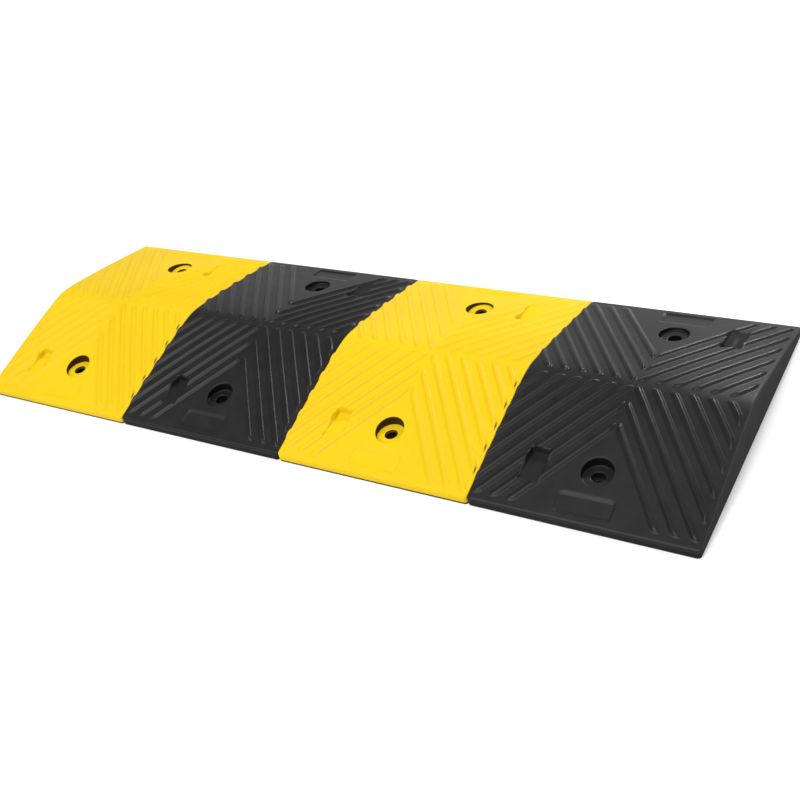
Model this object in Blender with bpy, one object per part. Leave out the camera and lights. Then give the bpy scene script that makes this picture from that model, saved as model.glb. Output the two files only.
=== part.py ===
"""Sectional rubber speed bump: a straight row of bolt-down modules, yellow and black in turn.

Each black module is one moulding. Each yellow module is a black base under a moulded-on yellow tread.
A steel washer is moulded into the base round every bolt hole. Lengths are in metres, +X runs along the
bump, +Y runs in the direction of travel and +Z is up from the road.
"""

import math

import bmesh
import bpy

# Overall sizes
MODULE_COUNT = 4
MODULE_LENGTH = 0.250
MODULE_WIDTH = 0.350
CREST_HEIGHT = 0.050
EDGE_HEIGHT = 0.010

# Clearances
JOINT_GAP = 0.0003
OVERCUT = 0.002

# Ramp section
CREST_SOFTNESS = 0.015
RAMP_BULGE = 0.001
EDGE_CHAMFER = 0.0015
CORNER_RADIUS = 0.004
CORNER_STEPS = 4
RAMP_STEPS = 9
EVEN_SPACING = 0.45

# Ribs: a rib lies on each diagonal of the module, and the others are parallel to it.
# They run out through the left side and stop short of the right side, the edges and the crest.
RIB_HEIGHT = 0.0025
RIB_PITCH = 0.020
RIB_WIDTH = 0.0098
RIBS_TO_SIDE = 5
RIBS_TO_MIDDLE = 2
PLAIN_MARGIN = 0.0033
END_MARGIN = 0.009
CREST_MARGIN = 0.0035
MIDDLE_MARGIN = 0.001

# Bolt holes: distance from the front and back edges, counterbore and through hole
BOLT_FROM_EDGE = 0.060
BOLT_RADIUS = 0.00725
SEAT_RADIUS = 0.017
SEAT_DEPTH = 0.0075
ROUND_STEPS = 28

# Washer moulded into the rubber under each bolt seat
WASHER_RADIUS = 0.0165
WASHER_HOLE_RADIUS = 0.0078
WASHER_THICKNESS = 0.0025
WASHER_COVER = 0.0045

# Blank plate panel near the middle of the front and back edges
PANEL_LENGTH = 0.062
PANEL_FROM_EDGE = 0.009
PANEL_DEPTH_ALONG = 0.023
PANEL_SINK = 0.0015

# Wedge pocket for a reflector, one on each ramp, turned half round from one another
POCKET_FROM_SIDE = 0.046
POCKET_LENGTH = 0.022
POCKET_WALL_FROM_EDGE = 0.074
POCKET_TOE_FROM_EDGE = 0.034
POCKET_SINK = 0.007
POCKET_RUNOUT = 0.014

# Yellow tread over a black base
TREAD_THICKNESS = 0.0035
FOOT_HEIGHT = 0.002

# Worked-out sizes
HALF_WIDTH = MODULE_WIDTH / 2
RAMP_TOP = CREST_HEIGHT - RIB_HEIGHT
RIB_SLOPE = MODULE_WIDTH / MODULE_LENGTH
BOLT_Y = HALF_WIDTH - BOLT_FROM_EDGE
CLEAR_TOP = CREST_HEIGHT * 2

YELLOW = (0.93, 0.60, 0.02, 1.0)
BLACK = (0.045, 0.045, 0.048, 1.0)
STEEL = (0.55, 0.56, 0.58, 1.0)
YELLOW_ROUGHNESS = 0.55
BLACK_ROUGHNESS = 0.6
STEEL_ROUGHNESS = 0.4


def ramp_height(y):
    """Height of the plain surface between the ribs: a soft crest falling to thin edges."""
    soft = CREST_SOFTNESS
    reach = math.hypot(HALF_WIDTH, soft) - soft
    fall = (math.hypot(y, soft) - soft) / reach
    straight = EDGE_HEIGHT + (RAMP_TOP - EDGE_HEIGHT) * (1 - fall)
    return straight + 4 * RAMP_BULGE * fall * (1 - fall)


def ramp_stations(low, high):
    """Places across the ramp between two limits, closer together round the crest."""
    limit = HALF_WIDTH
    places = [low, high]
    for step in range(-RAMP_STEPS, RAMP_STEPS + 1):
        share = step / RAMP_STEPS
        y = limit * share * (EVEN_SPACING + (1 - EVEN_SPACING) * abs(share))
        if low + OVERCUT < y < high - OVERCUT:
            places.append(y)
    return sorted(places)


def seat_floor():
    """Height of the flat floor that a bolt head or its washer sits on."""
    return ramp_height(BOLT_Y) - SEAT_DEPTH


def remove_everything():
    for item in list(bpy.data.objects):
        bpy.data.objects.remove(item, do_unlink=True)


def make_material(name, colour, roughness, metallic):
    material = bpy.data.materials.new(name)
    material.use_nodes = True
    shader = material.node_tree.nodes["Principled BSDF"]
    shader.inputs["Base Color"].default_value = colour
    shader.inputs["Roughness"].default_value = roughness
    shader.inputs["Metallic"].default_value = metallic
    return material


def new_object(name, shape):
    """Turn a bmesh into an object with all its faces pointing out."""
    bmesh.ops.recalc_face_normals(shape, faces=shape.faces)
    mesh = bpy.data.meshes.new(name)
    shape.to_mesh(mesh)
    shape.free()
    item = bpy.data.objects.new(name, mesh)
    bpy.context.collection.objects.link(item)
    return item


def add_prism(shape, ring, shift):
    """Close a ring of points into a solid by pushing it along one direction."""
    first = [shape.verts.new(point) for point in ring]
    second = [shape.verts.new([a + b for a, b in zip(point, shift)]) for point in ring]
    shape.faces.new(first)
    shape.faces.new(list(reversed(second)))
    count = len(ring)
    for index in range(count):
        after = (index + 1) % count
        shape.faces.new((first[index], second[index], second[after], first[after]))


def section_solid(name, outline, left, right):
    """A solid with one cross-section, given as (y, z) points, from left to right along X."""
    shape = bmesh.new()
    add_prism(shape, [(left, y, z) for y, z in outline], (right - left, 0, 0))
    return new_object(name, shape)


def upright_cylinder(name, x, y, radius, bottom, top):
    shape = bmesh.new()
    made = bmesh.ops.create_cone(
        shape,
        cap_ends=True,
        segments=ROUND_STEPS,
        radius1=radius,
        radius2=radius,
        depth=top - bottom,
    )
    bmesh.ops.translate(shape, verts=made["verts"], vec=(x, y, (top + bottom) / 2))
    return new_object(name, shape)


def combine(target, tool, operation):
    """Apply one Boolean to the target and take the tool away."""
    tool.hide_render = True
    tool.display_type = "WIRE"
    modifier = target.modifiers.new(operation.lower(), "BOOLEAN")
    modifier.operation = operation
    modifier.solver = "EXACT"
    modifier.object = tool
    graph = bpy.context.evaluated_depsgraph_get()
    result = bpy.data.meshes.new_from_object(target.evaluated_get(graph))
    target.modifiers.clear()
    old = target.data
    target.data = result
    bpy.data.meshes.remove(old)
    bpy.data.objects.remove(tool, do_unlink=True)


def ramp_outline():
    """Cross-section of a whole module without its ribs."""
    places = ramp_stations(-HALF_WIDTH + EDGE_CHAMFER, HALF_WIDTH - EDGE_CHAMFER)
    top = [(y, ramp_height(y)) for y in places]
    shoulder = EDGE_HEIGHT - EDGE_CHAMFER
    start = [(-HALF_WIDTH, 0.0), (-HALF_WIDTH, shoulder)]
    end = [(HALF_WIDTH, shoulder), (HALF_WIDTH, 0.0)]
    return start + top + end


def core_outline(grow):
    """Cross-section of a yellow module's base; grow makes it larger all round for the tread's cutter."""
    inner = HALF_WIDTH - TREAD_THICKNESS + grow
    drop = TREAD_THICKNESS - grow
    foot = FOOT_HEIGHT + grow
    outer = HALF_WIDTH + (OVERCUT if grow else 0.0)
    bottom = -OVERCUT if grow else 0.0
    top = [(y, ramp_height(y) - drop) for y in ramp_stations(-inner, inner)]
    start = [(-outer, bottom), (-outer, foot), (-inner, foot)]
    end = [(inner, foot), (outer, foot), (outer, bottom)]
    return start + top + end


def rib_band(low, high):
    """Cross-section of the layer that the ribs fill, from inside the ramp to the rib tops."""
    places = ramp_stations(low, high)
    top = [(y, ramp_height(y) + RIB_HEIGHT) for y in places]
    under = [(y, ramp_height(y) - OVERCUT) for y in reversed(places)]
    return top + under


def quarter_ribs(name, middle, side, travel, runs_out):
    """Ribs of one quarter of a module. side and travel are -1 or +1 and pick the quarter."""
    reach = MODULE_LENGTH / 2
    inner_x = middle + side * MIDDLE_MARGIN
    outer_x = middle + side * (reach + OVERCUT if runs_out else reach - PLAIN_MARGIN)
    low = CREST_MARGIN
    high = HALF_WIDTH - END_MARGIN
    limits = (low, high) if travel > 0 else (-high, -low)
    ribs = section_solid(name, rib_band(*limits), min(inner_x, outer_x), max(inner_x, outer_x))
    shape = bmesh.new()
    for index in range(-RIBS_TO_MIDDLE, RIBS_TO_SIDE + 1):
        near = index * RIB_PITCH - RIB_WIDTH / 2
        far = near + RIB_WIDTH
        run = (HALF_WIDTH + OVERCUT) / RIB_SLOPE
        end_y = travel * (HALF_WIDTH + OVERCUT)
        ring = [
            (middle + side * near, 0.0, 0.0),
            (middle + side * far, 0.0, 0.0),
            (middle + side * (far + run), end_y, 0.0),
            (middle + side * (near + run), end_y, 0.0),
        ]
        add_prism(shape, ring, (0, 0, CLEAR_TOP))
    combine(ribs, new_object(name + "_strips", shape), "INTERSECT")
    return ribs


def cut_corners(item, left, right):
    """Round the four upright corners of a module."""
    radius = CORNER_RADIUS
    ring = []
    for turn, (x, y) in enumerate(
        [
            (right - radius, HALF_WIDTH - radius),
            (left + radius, HALF_WIDTH - radius),
            (left + radius, -HALF_WIDTH + radius),
            (right - radius, -HALF_WIDTH + radius),
        ]
    ):
        for step in range(CORNER_STEPS + 1):
            angle = math.pi / 2 * (turn + step / CORNER_STEPS)
            ring.append((x + radius * math.cos(angle), y + radius * math.sin(angle), -OVERCUT))
    shape = bmesh.new()
    add_prism(shape, ring, (0, 0, CLEAR_TOP))
    combine(item, new_object("corner_form", shape), "INTERSECT")


def cut_bolt_seats(item, middle, spread):
    """Counterbores; spread makes them wider and deeper, for the base under a tread."""
    for y in (-BOLT_Y, BOLT_Y):
        floor = seat_floor() - spread
        radius = SEAT_RADIUS + spread
        combine(item, upright_cylinder("seat", middle, y, radius, floor, CLEAR_TOP), "DIFFERENCE")


def cut_bolt_holes(item, middle):
    for y in (-BOLT_Y, BOLT_Y):
        hole = upright_cylinder("hole", middle, y, BOLT_RADIUS, -OVERCUT, CLEAR_TOP)
        combine(item, hole, "DIFFERENCE")


def cut_washer_slots(item, middle):
    """Room for the moulded-in washers, open to the bolt holes."""
    bottom = WASHER_COVER - JOINT_GAP
    top = WASHER_COVER + WASHER_THICKNESS + JOINT_GAP
    for y in (-BOLT_Y, BOLT_Y):
        slot = upright_cylinder("slot", middle, y, WASHER_RADIUS + JOINT_GAP, bottom, top)
        combine(item, slot, "DIFFERENCE")


def pocket_outline(travel, spread):
    """Wedge section of a reflector pocket; spread makes it larger, for the base under a tread."""
    wall = HALF_WIDTH - POCKET_WALL_FROM_EDGE
    toe = HALF_WIDTH - POCKET_TOE_FROM_EDGE
    wall_floor = ramp_height(wall) - POCKET_SINK
    toe_floor = ramp_height(toe)
    fall = (toe_floor - wall_floor) / (toe - wall)
    inner = wall - spread
    outer = toe + POCKET_RUNOUT
    return [
        (travel * inner, wall_floor - fall * spread - spread),
        (travel * inner, CLEAR_TOP),
        (travel * outer, CLEAR_TOP),
        (travel * outer, toe_floor + fall * (outer - toe) - spread),
    ]


def cut_pockets(item, middle, spread):
    """One pocket on each ramp, on opposite sides of the module."""
    near = MODULE_LENGTH / 2 - POCKET_FROM_SIDE - POCKET_LENGTH - spread
    far = MODULE_LENGTH / 2 - POCKET_FROM_SIDE + spread
    for travel in (-1, 1):
        left = middle + (near if travel > 0 else -far)
        right = middle + (far if travel > 0 else -near)
        pocket = section_solid("pocket", pocket_outline(travel, spread), left, right)
        combine(item, pocket, "DIFFERENCE")


def cut_panels(item, middle):
    """Shallow blank panels that follow the ramp at the foot of both sides."""
    outer = HALF_WIDTH - PANEL_FROM_EDGE
    inner = outer - PANEL_DEPTH_ALONG
    for travel in (-1, 1):
        low, high = sorted((travel * inner, travel * outer))
        places = ramp_stations(low, high)
        floor = [(y, ramp_height(y) - PANEL_SINK) for y in places]
        lid = [(high, CLEAR_TOP), (low, CLEAR_TOP)]
        left = middle - PANEL_LENGTH / 2
        panel = section_solid("panel", floor + lid, left, left + PANEL_LENGTH)
        combine(item, panel, "DIFFERENCE")


def whole_module(name, middle):
    """A complete module in one piece: ramps, ribs, bolt seats, pockets and panels."""
    left = middle - (MODULE_LENGTH - JOINT_GAP) / 2
    right = middle + (MODULE_LENGTH - JOINT_GAP) / 2
    item = section_solid(name, ramp_outline(), left, right)
    joined_on_left = left > MODULE_LENGTH * (1 - MODULE_COUNT) / 2
    for side in (-1, 1):
        runs_out = side < 0 and joined_on_left
        for travel in (-1, 1):
            combine(item, quarter_ribs("ribs", middle, side, travel, runs_out), "UNION")
    cut_corners(item, left, right)
    cut_bolt_seats(item, middle, 0.0)
    cut_bolt_holes(item, middle)
    cut_pockets(item, middle, 0.0)
    cut_panels(item, middle)
    return item


def core(name, middle, grow):
    """The base under a yellow tread, or, grown by the joint gap, the form that hollows the tread."""
    overrun = OVERCUT if grow else 0.0
    half = (MODULE_LENGTH - JOINT_GAP) / 2
    item = section_solid(name, core_outline(grow), middle - half - overrun, middle + half + overrun)
    cut_bolt_seats(item, middle, TREAD_THICKNESS - grow)
    cut_pockets(item, middle, TREAD_THICKNESS - grow)
    if not grow:
        cut_corners(item, middle - half, middle + half)
    return item


def black_body(name, middle, material):
    item = whole_module(name, middle)
    cut_washer_slots(item, middle)
    item.data.materials.append(material)


def yellow_tread(name, middle, material):
    item = whole_module(name, middle)
    combine(item, core("tread_form", middle, JOINT_GAP), "DIFFERENCE")
    item.data.materials.append(material)


def black_base(name, middle, material):
    item = core(name, middle, 0.0)
    cut_bolt_holes(item, middle)
    cut_washer_slots(item, middle)
    item.data.materials.append(material)


def washer(name, middle, y, material):
    """Flat steel ring, a little looser on the bolt than the rubber hole."""
    top = WASHER_COVER + WASHER_THICKNESS
    item = upright_cylinder(name, middle, y, WASHER_RADIUS, WASHER_COVER, top)
    hole = upright_cylinder(
        "washer_hole", middle, y, WASHER_HOLE_RADIUS, WASHER_COVER - OVERCUT, top + OVERCUT
    )
    combine(item, hole, "DIFFERENCE")
    item.data.materials.append(material)


def build():
    remove_everything()
    yellow = make_material("yellow_rubber", YELLOW, YELLOW_ROUGHNESS, 0.0)
    black = make_material("black_rubber", BLACK, BLACK_ROUGHNESS, 0.0)
    steel = make_material("washer_steel", STEEL, STEEL_ROUGHNESS, 1.0)
    for index in range(MODULE_COUNT):
        middle = (index - (MODULE_COUNT - 1) / 2) * MODULE_LENGTH
        number = index + 1
        if index % 2 == 0:
            black_base(f"module_{number}_black_base", middle, black)
            yellow_tread(f"module_{number}_yellow_tread", middle, yellow)
        else:
            black_body(f"module_{number}_black_body", middle, black)
        washer(f"module_{number}_front_washer", middle, -BOLT_Y, steel)
        washer(f"module_{number}_back_washer", middle, BOLT_Y, steel)


build()
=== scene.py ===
import math

import bmesh
import bpy
import numpy as np
from mathutils import Matrix, Vector


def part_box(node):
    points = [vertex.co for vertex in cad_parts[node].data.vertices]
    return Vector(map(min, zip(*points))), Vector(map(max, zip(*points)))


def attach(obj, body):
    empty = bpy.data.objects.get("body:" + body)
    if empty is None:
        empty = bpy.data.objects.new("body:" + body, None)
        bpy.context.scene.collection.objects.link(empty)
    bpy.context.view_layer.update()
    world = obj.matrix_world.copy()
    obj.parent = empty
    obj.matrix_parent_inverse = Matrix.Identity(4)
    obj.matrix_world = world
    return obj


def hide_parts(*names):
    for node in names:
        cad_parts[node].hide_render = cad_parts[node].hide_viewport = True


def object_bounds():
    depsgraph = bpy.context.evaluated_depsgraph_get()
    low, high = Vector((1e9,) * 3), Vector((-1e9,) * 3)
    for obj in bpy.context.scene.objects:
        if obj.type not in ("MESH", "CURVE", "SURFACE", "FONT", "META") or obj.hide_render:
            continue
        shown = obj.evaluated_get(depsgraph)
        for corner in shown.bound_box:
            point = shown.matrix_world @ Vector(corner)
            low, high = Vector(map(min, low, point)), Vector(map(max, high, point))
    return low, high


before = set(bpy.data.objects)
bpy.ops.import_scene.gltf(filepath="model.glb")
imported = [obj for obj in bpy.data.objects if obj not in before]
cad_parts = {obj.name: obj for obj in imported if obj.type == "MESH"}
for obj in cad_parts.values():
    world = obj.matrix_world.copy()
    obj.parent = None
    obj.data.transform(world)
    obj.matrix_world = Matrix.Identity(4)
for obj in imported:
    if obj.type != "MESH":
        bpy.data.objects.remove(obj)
cadLow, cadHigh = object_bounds()
print("frame loaded:", len(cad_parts), "nodes")

millimetre = 0.001

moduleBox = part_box("module_2_black_body")  # every module is the same moulding
halfLength = (moduleBox[1].x - moduleBox[0].x) / 2
halfWidth = (moduleBox[1].y - moduleBox[0].y) / 2

rampForm = {
    "edgeHeight": 0.010,  # thin front and back edges
    "plainCrest": 0.0475,  # crest without its ribs
    "crestRounding": 0.015,
    "bulge": 0.001,  # how far the middle of a ramp swells above a straight line
    "frontFillet": 0.0026,
    "sideFillet": 0.0010,
    "cornerRadius": 0.004,
    "footFillet": 0.0006,
    "footShare": 0.3,  # where the middle of that fillet lies
    "wallRings": (0.97, 0.5),  # shares of the way up the outer wall
}

ribForm = {
    "height": 0.0024,
    "pitch": 0.020,  # between ribs, along the bump
    "width": 0.0098,  # along the bump
    "slope": 1.4,  # the module's diagonal: width over length
    "toSide": 5,  # ribs between the diagonal and the module's side
    "toMiddle": 2,  # ribs between the diagonal and the plain triangle
    "ribEndShadeFrom": 0.0004,  # how far inside a rib's end the middle of its painted shade lies
    "ribEndShadeReach": 0.0012,  # and how far it fades to either side
    "dome": 2.1,  # 2 is a parabola, more is a flatter top with steeper sides
    "plainMargin": 0.0033,  # on the right side, and at the row's free left end
    "runOut": -0.0060,  # on a joined left side the ribs run out through the wall
    "endMargin": 0.009,
    "crestMargin": 0.0035,
    "middleMargin": 0.001,
    "rounding": 0.0040,  # how far the dome reaches in from a rib's rim, and the radius of its ends
}

seatForm = {
    "fromEdge": 0.060,
    "radius": 0.017,
    "depth": 0.0075,
    "hole": 0.00725,
    "slotLow": 0.0042,  # slot that holds the moulded-in washer
    "slotHigh": 0.0073,
    "slotRadius": 0.0168,
    "blend": 1.9,  # millimetres outside the rim where the square opening has become round
    "darkFrom": 1.1,  # millimetres down at which the dark colour is full: the dark base on a yellow tread, painted shade on a black body
    "rimRings": [  # millimetres outside the rim, millimetres down from the ramp
        (1.9, 0.0), (1.3, 0.02), (0.8, 0.12), (0.45, 0.32), (0.2, 0.65), (0.05, 1.1), (0.0, 1.6),
    ],
    "dishRings": [  # millimetres in from the rim, millimetres above the floor, share of dark base and painted shade
        (0.02, 1.6, 1.0), (0.06, 0.9, 1.0), (0.3, 0.25, 0.8), (0.9, 0.0, 0.0),
    ],
    "floorShare": 0.72,  # a ring across the flat floor, as a share of the rim's radius
    "holeRings": [  # millimetres out from the hole, millimetres above the floor, share of painted shade down the hole
        (1.1, 0.0, 0.0), (0.5, -0.15, 0.3), (0.12, -0.5, 1.0), (0.0, -1.0, 1.0),
    ],
    "holeFoot": 0.6,  # millimetres that the hole widens by at the underside
}

panelForm = {
    "length": 0.062,
    "fromEdge": 0.009,
    "depth": 0.023,
    "sink": 0.0014,
    "corner": 0.005,
    "soft": 0.0012,  # width of the step round it
}

pocketForm = {
    "fromSide": 0.046,
    "length": 0.022,
    "wallFromEdge": 0.074,
    "toeFromEdge": 0.034,
    "sink": 0.007,
    "shallow": 0.0006,  # least depth, at the toe
    "corner": 0.0016,
    "leastCorner": 0.0003,
    "wallShare": 0.8,  # how matt the floor is, against an outer wall
    "rings": [  # millimetres out from the pocket's outline, share of its depth
        (1.7, 0.0), (1.2, 0.02), (0.7, 0.08), (0.25, 0.2), (-0.2, 0.42), (-0.6, 0.66),
        (-1.0, 0.86), (-1.5, 0.96), (-2.2, 1.0), (-4.0, 1.0), (-8.0, 1.0),
    ],
}

treadForm = {
    "thickness": 0.0032,
    "foot": 0.0023,
    "footDepth": 0.0032,
    "wallRings": (0.04, 0.8),  # shares of the way down the outer wall
    "holeBreak": 0.0003,  # softened edge where the hole leaves the tread
    "cupBreak": 0.0004,  # and round the outside of the seat
}

boltY = halfWidth - seatForm["fromEdge"]
ribAngle = math.atan(ribForm["slope"])

netForm = {  # the net of points that a moulding's top is drawn on
    "cellsPerPitch": 16,
    "evenX": 95,  # even cells from the middle outwards
    "evenY": 94,
    "extraX": [1.0],  # further lines, in millimetres from the middle
    "extraY": [3.5, 4.4],
    "marginX": [5.2, 4.2, 3.3, 2.2, 1.05, 0.5, 0.15, 0.0],  # border lines, millimetres from the side
    "marginY": [9.0, 7.7, 6.2, 4.7, 3.35, 3.05, 2.6, 1.7, 1.0, 0.45, 0.12, 0.0],
    "boltCellsX": 17,  # openings left for the seats and pockets, in cells from the middle
    "boltCellsY": (54, 78),
    "pocketCellsX": (43, 66),
    "pocketCellsY": (56, 82),
    "sharpDegrees": 55,
}
latticeX = ribForm["pitch"] / netForm["cellsPerPitch"]
latticeY = latticeX * ribForm["slope"]  # so that cell diagonals run along the ribs


def rampHeight(y):  # straight fall from a softened crest, plus a parabola that swells the middle
    soft = rampForm["crestRounding"]
    fall = (np.hypot(y, soft) - soft) / (math.hypot(halfWidth, soft) - soft)
    rise = rampForm["plainCrest"] - rampForm["edgeHeight"]
    return rampForm["edgeHeight"] + rise * (1 - fall) + 4 * rampForm["bulge"] * fall * (1 - fall)


# distance from the nearest rib's middle, measured along the bump
def ribPhase(x, y):
    across = np.abs(x) - np.abs(y) / ribForm["slope"]
    nearest = np.clip(np.round(across / ribForm["pitch"]), -ribForm["toMiddle"], ribForm["toSide"])
    return across - nearest * ribForm["pitch"]


# 0 between ribs, 1 along their tops: one less a power of the distance in from the rim
def ribLift(x, y, leftMargin):
    sideMargin = np.where(x < 0, leftMargin, ribForm["plainMargin"])
    sideways = (ribForm["width"] / 2 - np.abs(ribPhase(x, y))) * math.sin(ribAngle)
    limits = [
        sideways,
        halfLength - sideMargin - np.abs(x),
        halfWidth - ribForm["endMargin"] - np.abs(y),
        np.abs(y) - ribForm["crestMargin"],
        np.abs(x) - ribForm["middleMargin"],
    ]
    reach = ribForm["rounding"]
    inside = reach - np.sqrt(sum(np.maximum(reach - limit, 0) ** 2 for limit in limits))
    share = np.clip(inside / reach, 0, 1)
    return 1 - (1 - share) ** ribForm["dome"]


# painted shade where a rib ends by the front ramp's right edge: 1 on a ridge along x, times a root
# across the rib
def ribEndShade(x, y):
    fromEnd = halfLength - ribForm["plainMargin"] - x
    along = np.clip(1 - np.abs(fromEnd - ribForm["ribEndShadeFrom"]) / ribForm["ribEndShadeReach"], 0, 1)
    inRib = np.clip(1 - np.abs(ribPhase(x, y)) / (ribForm["width"] / 2), 0, 1)
    onFrontRamp = (y < -ribForm["pitch"]) & (-y < halfWidth - ribForm["endMargin"])
    return np.where(onFrontRamp, along * np.sqrt(inRib), 0.0)


# 1 inside the blank panel, 0 outside, with a soft step along a rounded rectangle
def panelShare(x, y):
    outer = halfWidth - panelForm["fromEdge"]
    limits = [
        panelForm["length"] / 2 - np.abs(x),
        outer - np.abs(y),
        np.abs(y) - (outer - panelForm["depth"]),
    ]
    corner = panelForm["corner"]
    inside = corner - np.sqrt(sum(np.maximum(corner - limit, 0) ** 2 for limit in limits))
    share = np.clip(inside / panelForm["soft"], 0, 1)
    return share * share * (3 - 2 * share)


def borderDrop(distance, radius):  # quarter circle down to the outer wall
    short = np.clip(radius - distance, 0, radius)
    return radius - np.sqrt(radius**2 - short**2)


# the ramp, plus the ribs, less the blank panels and the rounded border
def upperHeight(x, y, leftMargin):
    drop = borderDrop(halfWidth - np.abs(y), rampForm["frontFillet"])
    drop = drop + borderDrop(halfLength - np.abs(x), rampForm["sideFillet"])
    ribs = ribForm["height"] * ribLift(x, y, leftMargin)
    return rampHeight(y) + ribs - panelForm["sink"] * panelShare(x, y) - drop


def pocketFloor(y):  # a plane from the foot of the upright wall to the plain surface at the toe
    wall = halfWidth - pocketForm["wallFromEdge"]
    toe = halfWidth - pocketForm["toeFromEdge"]
    deep = rampHeight(wall) - pocketForm["sink"]
    return deep + (rampHeight(toe) - deep) * (np.abs(y) - wall) / (toe - wall)


# inside of a tread: the ramp lowered by its thickness, with a step over the foot
def underTread(x, y):
    low = rampHeight(y) - treadForm["thickness"]
    spread = treadForm["thickness"] - latticeY
    for centreX, centreY in pocketCentres:
        reachX = pocketForm["length"] / 2 + spread
        reachY = (pocketForm["wallFromEdge"] - pocketForm["toeFromEdge"]) / 2 + spread
        held = (np.abs(x - centreX) < reachX) & (np.abs(y - centreY) < reachY)
        low = np.where(held, np.minimum(low, pocketFloor(y) - treadForm["thickness"]), low)
    return np.where(np.abs(y) > halfWidth - treadForm["footDepth"], treadForm["foot"], low)


pocketX = halfLength - (pocketForm["fromSide"] + pocketForm["length"] / 2)
pocketY = halfWidth - (pocketForm["wallFromEdge"] + pocketForm["toeFromEdge"]) / 2
pocketCentres = [(-pocketX, -pocketY), (pocketX, pocketY)]  # half a turn from one another


# even lines in the ribbed part, closer ones in the plain border
def gridLines(step, count, edge, extra, margin):
    even = np.arange(-count, count + 1) * step
    close = edge - np.array(margin) * millimetre
    more = np.array(extra) * millimetre
    return np.unique(np.round(np.concatenate([even, more, -more, close, -close]), 7))


linesX = gridLines(latticeX, netForm["evenX"], halfLength, netForm["extraX"], netForm["marginX"])
linesY = gridLines(latticeY, netForm["evenY"], halfWidth, netForm["extraY"], netForm["marginY"])


def window(lowX, highX, lowY, highY):  # index limits of a rectangle of cells
    places = [(linesX, lowX), (linesX, highX), (linesY, lowY), (linesY, highY)]
    return [int(np.argmin(np.abs(lines - place))) for lines, place in places]


# lowest and highest place of a run of cells on one side of the middle
def reachOf(side, cells, lattice):
    return sorted(side * count * lattice for count in cells)


boltWindows = []
pocketWindows = []
for side in (-1, 1):
    boltX = netForm["boltCellsX"] * latticeX
    boltPlaces = reachOf(side, netForm["boltCellsY"], latticeY)
    boltWindows.append(window(-boltX, boltX, *boltPlaces))
    pocketPlacesX = reachOf(side, netForm["pocketCellsX"], latticeX)
    pocketPlacesY = reachOf(side, netForm["pocketCellsY"], latticeY)
    pocketWindows.append(window(*pocketPlacesX, *pocketPlacesY))


# square corners become arcs: the disc map of a square
def roundedCorners(x, y, reachX, reachY, radius):
    cornerX = np.clip((np.abs(x) - (reachX - radius)) / radius, 0, 1)
    cornerY = np.clip((np.abs(y) - (reachY - radius)) / radius, 0, 1)
    newX = cornerX * np.sqrt(1 - cornerY**2 / 2)
    newY = cornerY * np.sqrt(1 - cornerX**2 / 2)
    x = x + np.sign(x) * (newX - cornerX) * radius
    y = y + np.sign(y) * (newY - cornerY) * radius
    return x, y


def windowLoop(limits):  # grid indices round a window, anticlockwise, as one closed loop
    lowI, highI, lowJ, highJ = limits
    bottom = [(i, lowJ) for i in range(lowI, highI)]
    right = [(highI, j) for j in range(lowJ, highJ)]
    top = [(i, highJ) for i in range(highI, lowI, -1)]
    left = [(lowI, j) for j in range(highJ, lowJ, -1)]
    return np.array(bottom + right + top + left)


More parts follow.
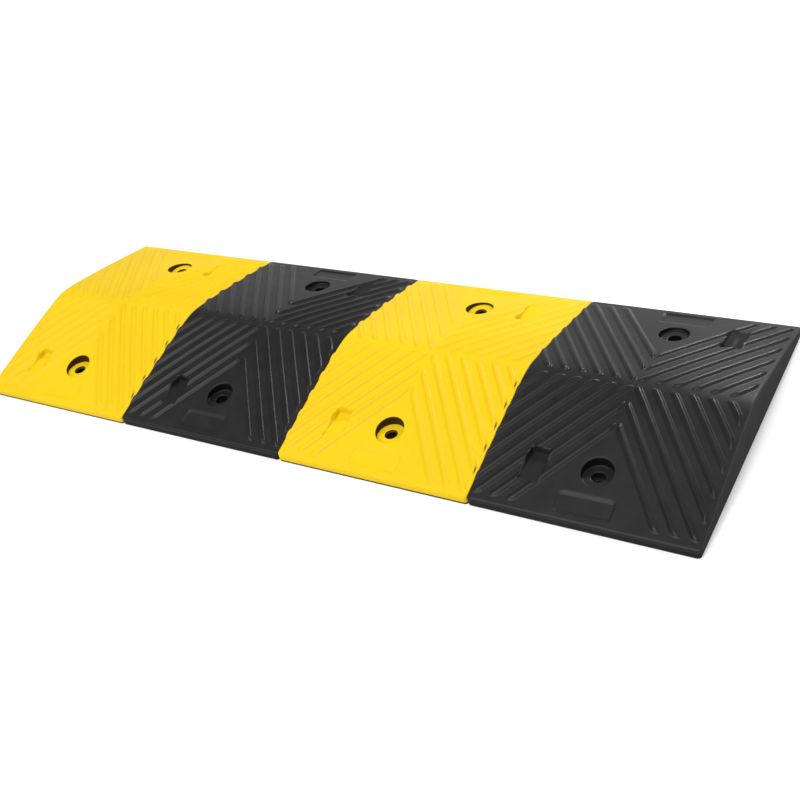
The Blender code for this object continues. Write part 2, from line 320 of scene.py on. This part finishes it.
class Shell:  # gathers points and triangles of one closed piece
    def __init__(self, leftMargin):
        self.leftMargin = leftMargin
        self.points = []
        self.layers = {"relief": [], "hollow": [], "wall": []}
        self.faces = []
        self.count = 0

    def addPoints(self, x, y, z, **marks):  # marks are shares for the material, by layer name
        x, y, z = (np.broadcast_to(a, np.shape(x)).ravel() for a in (x, y, z))
        self.points.append(np.column_stack([x, y, z]))
        for layer, values in self.layers.items():
            values.append(np.ravel(marks.get(layer, 0.0)) + np.zeros(x.size))
        first = self.count
        self.count += x.size
        return first + np.arange(x.size)

    def upper(self, x, y):
        return upperHeight(x, y, self.leftMargin)

    def relief(self, x, y):
        return ribLift(x, y, self.leftMargin)

    def addGrid(self, height, windows, ribbed):  # a height over the whole module, less its windows
        x, y = np.meshgrid(linesX, linesY, indexing="ij")
        z = height(x, y)
        # the rib ends by the right edge of the front ramp carry painted shade
        marks = {"relief": self.relief(x, y), "hollow": ribEndShade(x, y)} if ribbed else {}
        flatX, flatY = roundedCorners(x, y, halfLength, halfWidth, rampForm["cornerRadius"])
        index = self.addPoints(flatX, flatY, z, **marks).reshape(x.shape)
        solid = np.ones((x.shape[0] - 1, x.shape[1] - 1), bool)
        for lowI, highI, lowJ, highJ in windows:
            solid[lowI:highI, lowJ:highJ] = False
        a, b, c, d = index[:-1, :-1], index[1:, :-1], index[1:, 1:], index[:-1, 1:]
        middleX = (linesX[:-1] + linesX[1:])[:, None]
        middleY = (linesY[:-1] + linesY[1:])[None, :]
        along = (middleX * middleY > 0) & solid
        other = (middleX * middleY <= 0) & solid
        for mask, triangles in ((along, ((a, b, c), (a, c, d))), (other, ((a, b, d), (b, c, d)))):
            for triangle in triangles:
                self.faces.append(np.column_stack([corner[mask] for corner in triangle]))
        return index

    def addBand(self, first, second):  # triangles between two closed loops of the same length
        nextFirst, nextSecond = np.roll(first, -1), np.roll(second, -1)
        self.faces.append(np.column_stack([first, nextFirst, nextSecond]))
        self.faces.append(np.column_stack([first, nextSecond, second]))
        return second

    def addCap(self, loop, x, y, z):  # a fan to one middle point
        middle = self.addPoints(np.array([x]), np.array([y]), np.array([z]))[0]
        self.faces.append(np.column_stack([loop, np.roll(loop, -1), np.full(loop.size, middle)]))

    def where(self, indices):
        return np.concatenate(self.points)[indices]

    def build(self, name, middleX, flatLoops=()):
        points = np.concatenate(self.points)
        layers = {layer: np.concatenate(values) for layer, values in self.layers.items()}
        faces = np.concatenate(self.faces)
        used, renumbered = np.unique(faces, return_inverse=True)
        faces = renumbered.reshape(faces.shape)
        place = np.full(points.shape[0], -1)
        place[used] = np.arange(used.size)
        mesh = bpy.data.meshes.new(name)
        mesh.vertices.add(used.size)
        mesh.vertices.foreach_set("co", (points[used] + [middleX, 0, 0]).astype(np.float32).ravel())
        mesh.loops.add(faces.size)
        mesh.loops.foreach_set("vertex_index", faces.astype(np.int32).ravel())
        mesh.polygons.add(len(faces))
        mesh.polygons.foreach_set("loop_start", np.arange(0, faces.size, 3, dtype=np.int32))
        mesh.update(calc_edges=True)
        mesh.validate()
        for layer, values in layers.items():
            attribute = mesh.attributes.new(layer, "FLOAT", "POINT")
            attribute.data.foreach_set("value", values[used].astype(np.float32))
        shape = bmesh.new()
        shape.from_mesh(mesh)
        if flatLoops:  # the flat underside, filled between its outline and the bolt holes
            shape.verts.ensure_lookup_table()
            edges = []
            for loop in flatLoops:
                corners = [shape.verts[int(place[index])] for index in loop]
                for one, two in zip(corners, corners[1:] + corners[:1]):
                    edges.append(shape.edges.get((one, two)) or shape.edges.new((one, two)))
            bmesh.ops.triangle_fill(shape, use_beauty=True, use_dissolve=False, edges=edges)
        bmesh.ops.recalc_face_normals(shape, faces=shape.faces)
        shape.to_mesh(mesh)
        shape.free()
        mesh.shade_smooth()
        mesh.set_sharp_from_angle(angle=math.radians(netForm["sharpDegrees"]))
        piece = bpy.data.objects.new(name, mesh)
        bpy.context.scene.collection.objects.link(piece)
        return piece


# rounded rectangle rings down an upright wall to a sloping floor
def addPocket(shell, index, limits, centre):
    loop = windowLoop(limits)
    start = index[loop[:, 0], loop[:, 1]]
    cornerX, cornerY = linesX[loop[:, 0]], linesY[loop[:, 1]]
    spanX, spanY = np.ptp(linesX[limits[:2]]) / 2, np.ptp(linesY[limits[2:]]) / 2
    u = (cornerX - linesX[limits[:2]].mean()) / spanX
    v = (cornerY - linesY[limits[2:]].mean()) / spanY
    reachX = pocketForm["length"] / 2
    reachY = (pocketForm["wallFromEdge"] - pocketForm["toeFromEdge"]) / 2
    for grow, share in pocketForm["rings"]:
        sizeX, sizeY = reachX + grow * millimetre, reachY + grow * millimetre
        radius = max(pocketForm["corner"] + grow * millimetre, pocketForm["leastCorner"])
        x, y = roundedCorners(u * sizeX, v * sizeY, sizeX, sizeY, radius)
        x, y = centre[0] + x, centre[1] + y
        top = shell.upper(x, y)
        depth = np.maximum(top - pocketFloor(y), pocketForm["shallow"])
        relief = shell.relief(x, y) * (1 - share)
        wall = share * pocketForm["wallShare"]
        ring = shell.addPoints(x, y, top - share * depth, relief=relief, wall=wall)
        start = shell.addBand(start, ring)
    shell.addCap(start, centre[0], centre[1], pocketFloor(centre[1]))


# a circle about a bolt's axis; shade is its share of dark: painted shade, and the dark base on a
# yellow tread's counterbore wall
def circleRing(shell, angle, centreY, radius, z, shade=0.0):
    x, y = radius * np.cos(angle), centreY + radius * np.sin(angle)
    return shell.addPoints(x, y, z, hollow=shade)


# square window to round counterbore, floor and hole
def addSeat(shell, index, limits, centreY, under=None):
    loop = windowLoop(limits)
    start = index[loop[:, 0], loop[:, 1]]
    x, y = linesX[loop[:, 0]], linesY[loop[:, 1]]
    angle = np.arctan2(y - centreY, x)
    rim = seatForm["radius"]
    floor = float(rampHeight(boltY)) - seatForm["depth"]
    outer = rim + seatForm["blend"] * millimetre
    x, y = (x + outer * np.cos(angle)) / 2, (y + centreY + outer * np.sin(angle)) / 2
    start = shell.addBand(start, shell.addPoints(x, y, shell.upper(x, y)))
    for grow, drop in seatForm["rimRings"]:
        radius = rim + grow * millimetre
        top = shell.upper(radius * np.cos(angle), centreY + radius * np.sin(angle))
        # the rim darkens going down: painted shade, and on a yellow tread the dark base
        shade = min(drop / seatForm["darkFrom"], 1.0)
        z = top - drop * millimetre
        start = shell.addBand(start, circleRing(shell, angle, centreY, radius, z, shade))
    hole = seatForm["hole"]
    inner = [(rim - inset * millimetre, rise, dark) for inset, rise, dark in seatForm["dishRings"]]
    inner.append((rim * seatForm["floorShare"], 0.0, 0.0))
    inner += [(hole + out * millimetre, rise, dark) for out, rise, dark in seatForm["holeRings"]]
    for radius, rise, shade in inner:
        z = floor + rise * millimetre
        start = shell.addBand(start, circleRing(shell, angle, centreY, radius, z, shade))
    if under is None:
        slotRadius = seatForm["slotRadius"]
        slotLow, slotHigh = seatForm["slotLow"], seatForm["slotHigh"]
        foot = seatForm["holeFoot"] * millimetre
        slot = [(hole, slotHigh), (slotRadius, slotHigh), (slotRadius, slotLow), (hole, slotLow),
                (hole, foot), (hole + foot, 0.0)]
        for radius, z in slot:
            start = shell.addBand(start, circleRing(shell, angle, centreY, radius, z))
        return start
    wall = treadForm["thickness"]
    holeBreak, cupBreak = treadForm["holeBreak"], treadForm["cupBreak"]
    cup = [(hole, floor - wall + holeBreak), (hole + holeBreak, floor - wall), (rim, floor - wall),
           (rim + wall - cupBreak, floor - wall), (rim + wall, floor - wall + cupBreak)]
    for radius, z in cup:
        start = shell.addBand(start, circleRing(shell, angle, centreY, radius, z))
    radius = rim + wall
    low = underTread(radius * np.cos(angle), centreY + radius * np.sin(angle))
    start = shell.addBand(start, circleRing(shell, angle, centreY, radius, low))
    return shell.addBand(start, under[loop[:, 0], loop[:, 1]])


outline = windowLoop([0, len(linesX) - 1, 0, len(linesY) - 1])


def addTop(shell):  # the ribbed top with its two pockets, open where the seats go
    index = shell.addGrid(shell.upper, boltWindows + pocketWindows, True)
    for limits, centre in zip(pocketWindows, pocketCentres):
        addPocket(shell, index, limits, centre)
    return index


def blackModule(name, middleX, leftMargin):  # solid rubber down to a flat underside
    shell = Shell(leftMargin)
    index = addTop(shell)
    start = index[outline[:, 0], outline[:, 1]]
    edge = shell.where(start)
    fillet = rampForm["footFillet"]
    rings = [(0, edge[:, 2] * share) for share in rampForm["wallRings"]]
    part = fillet * rampForm["footShare"]
    rings += [(0, fillet), (part, part), (fillet, 0.0)]
    for inset, z in rings:  # how far in from the wall, and how high
        x = edge[:, 0] * (1 - inset / halfLength)
        y = edge[:, 1] * (1 - inset / halfWidth)
        start = shell.addBand(start, shell.addPoints(x, y, z, wall=1.0))
    flatLoops = [start]
    for limits, side in zip(boltWindows, (-1, 1)):
        flatLoops.append(addSeat(shell, index, limits, side * boltY))
    return shell.build(name, middleX, flatLoops)


def yellowTread(name, middleX, leftMargin):  # yellow rubber of even thickness over a black base
    shell = Shell(leftMargin)
    index = addTop(shell)
    under = shell.addGrid(underTread, boltWindows, False)
    start = index[outline[:, 0], outline[:, 1]]
    end = under[outline[:, 0], outline[:, 1]]
    edge, last = shell.where(start), shell.where(end)
    for share in treadForm["wallRings"]:
        z = edge[:, 2] * (1 - share) + last[:, 2] * share
        start = shell.addBand(start, shell.addPoints(edge[:, 0], edge[:, 1], z, wall=1.0))
    shell.addBand(start, end)
    for limits, side in zip(boltWindows, (-1, 1)):
        addSeat(shell, index, limits, side * boltY, under)
    return shell.build(name, middleX)


class Wire:  # a node socket that can be used in sums: a + b adds the Math node that they need
    def __init__(self, tree, socket):
        self.tree = tree
        self.socket = socket

    def node(self, kind, settings, sockets, out=0):
        made = self.tree.nodes.new(kind)
        for key, value in settings.items():
            if key == "stops":
                while len(made.color_ramp.elements) < len(value):
                    made.color_ramp.elements.new(1.0)
                for element, (position, colour) in zip(made.color_ramp.elements, value):
                    element.position = position
                    element.color = colour
            else:
                setattr(made, key, value)
        for key, value in sockets.items():
            if isinstance(value, Wire):
                self.tree.links.new(value.socket, made.inputs[key])
            else:
                made.inputs[key].default_value = value
        return Wire(self.tree, made.outputs[out])

    def sum(self, operation, one, two=0.0):
        return self.node("ShaderNodeMath", {"operation": operation}, {0: one, 1: two})

    def __add__(self, other):
        return self.sum("ADD", self, other)

    def __radd__(self, other):
        return self.sum("ADD", other, self)

    def __sub__(self, other):
        return self.sum("SUBTRACT", self, other)

    def __rsub__(self, other):
        return self.sum("SUBTRACT", other, self)

    def __mul__(self, other):
        return self.sum("MULTIPLY", self, other)

    def __rmul__(self, other):
        return self.sum("MULTIPLY", other, self)

    def ramp(self, low, high):  # 0 below low, 1 above high, smooth between
        settings = {"interpolation_type": "SMOOTHSTEP"}
        sockets = {"Value": self, "From Min": low, "From Max": high}
        return self.node("ShaderNodeMapRange", settings, sockets)

    def noise(self, scale, detail=2.0, roughness=0.5):
        sockets = {"Vector": self, "Scale": scale, "Detail": detail, "Roughness": roughness}
        return self.node("ShaderNodeTexNoise", {}, sockets)

    def blend(self, share, one, two):  # colour one where share is 0, colour two where it is 1
        return self.node("ShaderNodeMix", {"data_type": "RGBA"}, {0: share, 6: one, 7: two}, 2)

    def mark(self, layer):  # a share that the mesh carries at its points
        return self.node("ShaderNodeAttribute", {"attribute_name": layer}, {}, 2)

    def bump(self, strength, distance):
        sockets = {"Strength": strength, "Distance": distance, "Height": self}
        return self.node("ShaderNodeBump", {}, sockets)


def startMaterial(name):  # gives the material, its shader, and a wire with the place on the piece
    material = bpy.data.materials.new(name)
    material.use_nodes = True
    tree = material.node_tree
    shader = tree.nodes["Principled BSDF"]
    base = Wire(tree, None)
    place = base.node("ShaderNodeTexCoord", {}, {}, 3)
    return material, tree, shader, place


def finishMaterial(tree, shader, constants, varying):  # even values set on sockets, the rest linked
    for key, value in constants.items():
        shader.inputs[key].default_value = value
    for key, wire in varying.items():
        tree.links.new(wire.socket, shader.inputs[key])


rubberLooks = {
    "yellowRubber": {
        "body": (0.735, 0.503, 0.0004, 1.0),
        "cloud": (0.715, 0.470, 0.0003, 1.0),
        "dust": (0.750, 0.535, 0.0060, 1.0),
        "granule": (0.680, 0.430, 0.0003, 1.0),
        "hollow": (0.030, 0.014, 0.0030, 1.0),  # black base showing where the skin thins out on the counterbore walls, and painted shade at the rib ends and down the bolt holes
        "granuleShare": 0.12,
        "dustShare": 0.30,
        "roughness": 0.46,
        "wallRoughness": 0.25,
        "specular": 0.20,
    },
    "blackRubber": {
        "body": (0.0050, 0.0050, 0.0054, 1.0),
        "cloud": (0.0085, 0.0085, 0.0090, 1.0),
        "dust": (0.0140, 0.0138, 0.0135, 1.0),
        "granule": (0.0030, 0.0030, 0.0031, 1.0),
        # painted shade in the seats, down the bolt holes and at the rib ends
        "hollow": (0.0030, 0.0030, 0.0030, 1.0),
        "granuleShare": 0.40,
        "dustShare": 0.35,
        "roughness": 0.38,
        "wallRoughness": 0.45,
        "specular": 0.26,
    },
}


rubberGrain = {
    "clouds": (7.0, 4.0, 0.6),  # each noise: scale, detail, roughness
    "mottle": (55.0, 5.0, 0.65),
    "crumb": (310.0, 3.0, 0.7),
    "grain": (1700.0, 2.0, 0.6),
    "cellScale": 430.0,
    "cloudLimits": (0.35, 0.7),
    "granuleLimits": (0.56, 0.68),
    "dustLimits": (0.42, 0.72),
    "baseAndShadeLimits": (0.1, 0.75),
    "rubbedLimits": (0.3, 0.95),
    "dustOffRibs": 0.6,  # share of the dust that a rib's top sheds
    "mottleGloss": 0.22,
    "grainGloss": 0.06,
    "rubbedGloss": 0.08,  # tyres polish the tops
    "cellHeight": 0.25,
    "crumbHeight": 0.8,
    "grainHeight": 0.35,
    "bumpStrength": 0.55,
    "bumpDistance": 0.00016,
}


def rubber(name):  # mottled colour with dust between the ribs, dark crumbs, and a fine grainy skin
    looks = rubberLooks[name]
    material, tree, shader, place = startMaterial(name)
    relief = place.mark("relief")
    clouds = place.noise(*rubberGrain["clouds"]).ramp(*rubberGrain["cloudLimits"])
    mottle = place.noise(*rubberGrain["mottle"])
    cellSockets = {"Vector": place, "Scale": rubberGrain["cellScale"]}
    cells = place.node("ShaderNodeTexVoronoi", {}, cellSockets)
    crumb = place.noise(*rubberGrain["crumb"])
    grain = place.noise(*rubberGrain["grain"])
    granules = crumb.ramp(*rubberGrain["granuleLimits"]) * looks["granuleShare"]
    shed = 1 - relief * rubberGrain["dustOffRibs"]
    dusty = mottle.ramp(*rubberGrain["dustLimits"]) * shed * looks["dustShare"]
    colour = place.blend(clouds, looks["body"], looks["cloud"])
    colour = place.blend(dusty, colour, looks["dust"])
    colour = place.blend(granules, colour, looks["granule"])
    # darker in the seats, down the holes and at the rib ends: painted shade, and the dark base on a
    # yellow tread's counterbore walls
    hollow = place.mark("hollow").ramp(*rubberGrain["baseAndShadeLimits"])
    colour = place.blend(hollow, colour, looks["hollow"])
    wall = place.mark("wall")
    rubbed = relief.ramp(*rubberGrain["rubbedLimits"])
    rough = looks["roughness"] + (mottle - 0.5) * rubberGrain["mottleGloss"]
    rough = rough + grain * rubberGrain["grainGloss"] - rubbed * rubberGrain["rubbedGloss"]
    rough = rough + wall * looks["wallRoughness"]
    height = cells * rubberGrain["cellHeight"] + crumb * rubberGrain["crumbHeight"]
    height = height + grain * rubberGrain["grainHeight"]
    bump = height.bump(rubberGrain["bumpStrength"], rubberGrain["bumpDistance"])
    constants = {"Specular IOR Level": looks["specular"]}
    varying = {"Base Color": colour, "Roughness": rough, "Normal": bump}
    finishMaterial(tree, shader, constants, varying)
    return material


washerLooks = {
    "dull": (0.045, 0.046, 0.048, 1.0),
    "bright": (0.085, 0.086, 0.088, 1.0),
    "roughness": 0.42,
    "toneGloss": 0.25,
    "tone": (240.0, 4.0, 0.6),  # each noise: scale, detail, roughness
    "toneLimits": (0.35, 0.7),
    "scratch": (1600.0, 3.0, 0.7),
    "crystalScale": 900.0,
    "crystalShare": 0.08,
    "bumpStrength": 0.3,
    "bumpDistance": 0.00005,
}


def phosphatedSteel(name):  # dark grey crystals over a cloudy metal
    material, tree, shader, place = startMaterial(name)
    crystalSockets = {"Vector": place, "Scale": washerLooks["crystalScale"]}
    crystals = place.node("ShaderNodeTexVoronoi", {"feature": "F1"}, crystalSockets, 1)
    tone = place.noise(*washerLooks["tone"])
    cloudy = tone.ramp(*washerLooks["toneLimits"])
    colour = place.blend(cloudy, washerLooks["dull"], washerLooks["bright"])
    colour = place.blend(washerLooks["crystalShare"], colour, crystals)
    scratch = place.noise(*washerLooks["scratch"])
    bump = scratch.bump(washerLooks["bumpStrength"], washerLooks["bumpDistance"])
    rough = washerLooks["roughness"] + tone * washerLooks["toneGloss"]
    varying = {"Base Color": colour, "Roughness": rough, "Normal": bump}
    finishMaterial(tree, shader, {"Metallic": 1.0}, varying)
    return material


yellowRubber = rubber("yellowRubber")
blackRubber = rubber("blackRubber")
washerSteel = phosphatedSteel("phosphatedSteel")
print("materials made")


for node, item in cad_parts.items():
    item.data.materials.clear()
    item.data.materials.append(washerSteel if node.endswith("washer") else blackRubber)

for node in sorted(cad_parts):
    low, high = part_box(node)
    middleX = (low.x + high.x) / 2
    freeLeftEnd = low.x - cadLow.x < halfLength
    leftMargin = ribForm["plainMargin"] if freeLeftEnd else ribForm["runOut"]
    if node.endswith("yellow_tread"):
        piece = yellowTread(node.replace("yellow_tread", "tread_moulding"), middleX, leftMargin)
        piece.data.materials.append(yellowRubber)
    elif node.endswith("black_body"):
        piece = blackModule(node.replace("black_body", "body_moulding"), middleX, leftMargin)
        piece.data.materials.append(blackRubber)
    else:
        continue
    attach(piece, "root")
    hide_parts(node)
    print(piece.name, len(piece.data.polygons), "faces")


floorForm = {
    "reach": 40.0,
    "colour": (0.93, 0.93, 0.93, 1.0),
    "paler": (0.95, 0.95, 0.95, 1.0),
    "roughness": 0.75,
}


def makeFloor():  # a flat square sheet that the bump stands on
    reach = floorForm["reach"]
    mesh = bpy.data.meshes.new("floor")
    corners = [(-reach, -reach, 0), (reach, -reach, 0), (reach, reach, 0), (-reach, reach, 0)]
    mesh.from_pydata(corners, [], [(0, 1, 2, 3)])
    floor = bpy.data.objects.new("floor", mesh)
    bpy.context.scene.collection.objects.link(floor)
    material, tree, shader, place = startMaterial("studioFloor")
    tone = place.noise(3.0, 2.0).ramp(0.2, 0.8)
    colour = place.blend(tone, floorForm["colour"], floorForm["paler"])
    finishMaterial(tree, shader, {"Roughness": floorForm["roughness"]}, {"Base Color": colour})
    mesh.materials.append(material)


studioLights = {
    "frontPanel": {"place": (-0.3, -0.9, 1.9), "size": (1.0, 1.0), "power": 7.0},
    "backPanel": {"place": (0.40, 1.31, 0.905), "size": (0.16, 0.16), "power": 10.5},
    "backWash": {"place": (-0.65, 1.60, 0.45), "size": (1.6, 0.5), "power": 1.3},
    "rightPanel": {"place": (1.50, 0.80, 1.30), "size": (1.2, 1.2), "power": 4.0},
}
lightAim = (0.0, 0.0, 0.02)
skyLight = {"place": (-0.10, -0.46, 0.86), "spreadDegrees": 70.0, "strength": 2.35}
worldStrength = 0.40


def aimed(place, target):  # a placing that looks from place to target
    turn = (Vector(target) - Vector(place)).to_track_quat("-Z", "Y")
    return Matrix.Translation(place) @ turn.to_matrix().to_4x4()


def makeLights():  # soft panels, a broad sky light and an even white world
    for name, form in studioLights.items():
        light = bpy.data.lights.new(name, "AREA")
        light.shape = "RECTANGLE"
        light.size, light.size_y = form["size"]
        light.energy = form["power"]
        item = bpy.data.objects.new(name, light)
        item.matrix_world = aimed(form["place"], lightAim)
        bpy.context.scene.collection.objects.link(item)
    sky = bpy.data.lights.new("skyLight", "SUN")
    sky.angle = math.radians(skyLight["spreadDegrees"])
    sky.energy = skyLight["strength"]
    item = bpy.data.objects.new("skyLight", sky)
    item.matrix_world = aimed(skyLight["place"], (0.0, 0.0, 0.0))
    bpy.context.scene.collection.objects.link(item)
    world = bpy.data.worlds.new("studio")
    world.use_nodes = True
    background = world.node_tree.nodes["Background"]
    background.inputs["Color"].default_value = (1.0, 1.0, 1.0, 1.0)
    background.inputs["Strength"].default_value = worldStrength
    bpy.context.scene.world = world


cameraForm = {
    "place": (0.7813, -0.8509, 0.8377),
    "aim": (0.1074, -0.0622, 0.02),
    "rollDegrees": -17.2,
    "lens": 51.16,
    "sensor": 36.0,
}


def makeCamera():
    camera = bpy.data.cameras.new("camera")
    camera.lens = cameraForm["lens"]
    camera.sensor_width = cameraForm["sensor"]
    item = bpy.data.objects.new("camera", camera)
    roll = Matrix.Rotation(math.radians(cameraForm["rollDegrees"]), 4, "Z")
    item.matrix_world = aimed(cameraForm["place"], cameraForm["aim"]) @ roll
    bpy.context.scene.collection.objects.link(item)
    bpy.context.scene.camera = item


makeFloor()
makeLights()
makeCamera()
bpy.context.scene.view_settings.view_transform = "Standard"
print("floor, lights and camera made")
